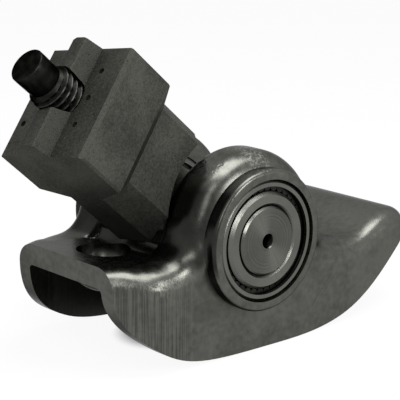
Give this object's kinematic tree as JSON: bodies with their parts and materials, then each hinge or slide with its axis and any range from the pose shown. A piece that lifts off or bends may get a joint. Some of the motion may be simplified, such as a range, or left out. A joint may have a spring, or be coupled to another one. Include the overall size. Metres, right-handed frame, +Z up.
{
  "type": "rocker arm",
  "caption": "Roller-trunnion rocker arm of drawn steel with a ball seat for the pushrod, a curved valve pad, needle bearings, a bolted pedestal and its bolt.",
  "frame": {"origin": "middle of the trunnion's axis, about which the arm rocks", "axes": "+X from the pushrod end to the valve end, +Y along the trunnion, +Z up as the part lies on the lower edges of its side walls"},
  "size_m": [0.0819, 0.039, 0.0558],
  "materials": {
    "arm_steel": "tumbled drawn steel, glossy on the bends",
    "cup_steel": "bare steel, smooth",
    "needle_steel": "ground and oiled",
    "race_steel": "ground",
    "trunnion_steel": "turned",
    "sintered_steel": "matte, finely grained",
    "black_steel": "black oxide"
  },
  "bodies": {
    "arm": {"rocker_arm": "arm_steel", "near_bearing_cup": "cup_steel", "far_bearing_cup": "cup_steel"},
    "near_rollers": {"near_needles": "needle_steel"},
    "far_rollers": {"far_needles": "needle_steel"},
    "shaft": {"trunnion": "trunnion_steel", "near_inner_race": "race_steel", "far_inner_race": "race_steel"},
    "stand": {"pedestal": "sintered_steel"},
    "screw": {"bolt": "black_steel"}
  },
  "joints": [
    {"name": "rock", "type": "hinge", "parent": "arm", "child": "shaft", "pos_m": [0, 0, 0], "axis": [0, 1, 0], "range_deg": [0, 90]},
    {"name": "near_rolling", "type": "hinge", "parent": "arm", "child": "near_rollers", "pos_m": [0, 0, 0], "axis": [0, 1, 0], "range_deg": [0, 41.4]},
    {"name": "far_rolling", "type": "hinge", "parent": "arm", "child": "far_rollers", "pos_m": [0, 0, 0], "axis": [0, 1, 0], "range_deg": [0, 41.4]},
    {"name": "pedestal_swivel", "type": "hinge", "parent": "shaft", "child": "stand", "pos_m": [0, 0, 0], "axis": [-0.7455, 0, 0.6665], "range_deg": [-20, 2]},
    {"name": "bolt_spin", "type": "hinge", "parent": "shaft", "child": "screw", "pos_m": [0, 0, 0], "axis": [-0.7455, 0, 0.6665], "continuous": true}
  ],
  "couplings": [
    {"joint": "near_rolling", "follows": "rock", "ratio": 0.4589},
    {"joint": "far_rolling", "follows": "rock", "ratio": 0.4589}
  ]
}
